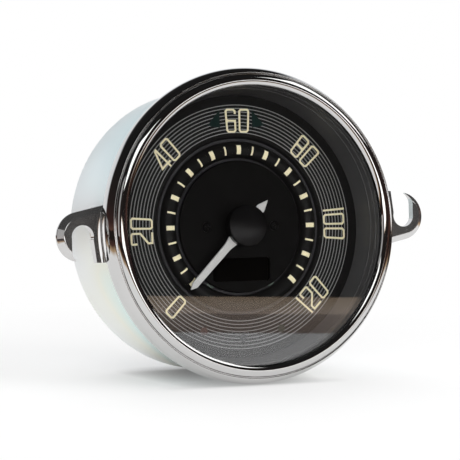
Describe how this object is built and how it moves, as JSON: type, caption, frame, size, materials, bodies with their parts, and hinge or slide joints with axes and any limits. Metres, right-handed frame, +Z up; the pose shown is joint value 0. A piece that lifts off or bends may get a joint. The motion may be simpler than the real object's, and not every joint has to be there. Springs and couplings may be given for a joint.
{
  "type": "speedometer",
  "caption": "Round electric vehicle speedometer: chrome bezel, flat glass, black two-level dial, pointer turned by a geared stepper motor, and two open side hooks for screws.",
  "frame": {"origin": "on the gauge's axis, in the middle of the bezel's rim", "axes": "-Y out of the dial towards the driver, +Z up through the number at the top of the dial, +X to the driver's right"},
  "size_m": [0.1536, 0.0652, 0.12],
  "materials": {
    "zinc": "bright zinc plate, smooth",
    "chrome": "mirror polished",
    "cast_chrome": "plated casting, polished edges",
    "glass": "clear",
    "rubber": "matt",
    "black_trim": "satin",
    "dial_black": "matt",
    "grey_ink": "printed",
    "cream_ink": "printed",
    "green_ink": "printed",
    "black_screw": "black, slightly glossy",
    "smoked_pane": "dark, clear",
    "display": "display glass",
    "red_lens": "tinted",
    "blue_lens": "tinted",
    "green_lens": "tinted",
    "clear_plastic": "clear moulding",
    "black_plastic": "moulded",
    "pointer_white": "satin white",
    "cap_black": "fine matt",
    "steel": "plain",
    "gear_plastic": "natural",
    "magnet": "ground",
    "copper": "enamelled wire",
    "board": "solder mask",
    "chip": "moulded",
    "led": "moulded",
    "tinned_brass": "plain"
  },
  "bodies": {
    "housing": {"case_can": "zinc", "bezel": "chrome", "glass": "glass", "glass_gasket": "rubber", "case_gasket": "rubber", "wall_ring": "black_trim", "numeral_plate": "dial_black", "dial_lines": "grey_ink", "numerals": "cream_ink", "side_triangles": "green_ink", "tick_ring": "dial_black", "tick_marks": "cream_ink", "centre_disc": "dial_black", "dial_screw_left": "black_screw", "dial_screw_right": "black_screw", "display_window": "smoked_pane", "display_module": "display", "lamp_lens_red": "red_lens", "lamp_lens_blue": "blue_lens", "lamp_lens_green": "green_lens", "light_guide": "clear_plastic", "dial_carrier": "black_plastic", "motor_front": "black_plastic", "motor_back": "black_plastic", "stator": "steel", "coil_left": "copper", "coil_right": "copper", "circuit_board": "board", "processor": "chip", "regulator": "chip", "crystal": "steel", "capacitor": "chip", "dial_lights": "led", "warning_lights": "led", "board_screw_1": "steel", "board_screw_2": "steel", "board_screw_3": "steel", "socket": "black_plastic", "socket_pins": "tinned_brass", "socket_seal": "rubber", "vent_plug": "black_plastic", "rear_screw_1": "steel", "rear_screw_2": "steel", "rear_screw_3": "steel", "hook_left": "cast_chrome", "hook_right": "cast_chrome", "hook_rivet_1": "steel", "hook_rivet_2": "steel", "hook_rivet_3": "steel", "hook_rivet_4": "steel"},
    "pointer_set": {"pointer": "pointer_white", "hub_cap": "cap_black", "arbor": "steel", "output_gear": "gear_plastic"},
    "idler": {"idler_gear": "gear_plastic"},
    "rotor": {"rotor": "magnet"}
  },
  "joints": [
    {"name": "pointer_turn", "type": "hinge", "parent": "housing", "child": "pointer_set", "pos_m": [0, 0, 0], "axis": [0, 1, 0], "range_deg": [0, 270]},
    {"name": "idler_turn", "type": "hinge", "parent": "housing", "child": "idler", "pos_m": [0, 0, 0.0075], "axis": [0, 1, 0], "range_deg": [-1080, 0]},
    {"name": "rotor_turn", "type": "hinge", "parent": "housing", "child": "rotor", "pos_m": [0, 0, 0.015], "axis": [0, 1, 0], "range_deg": [0, 4320]}
  ],
  "couplings": [
    {"joint": "idler_turn", "follows": "pointer_turn", "ratio": -4},
    {"joint": "rotor_turn", "follows": "pointer_turn", "ratio": 16}
  ]
}
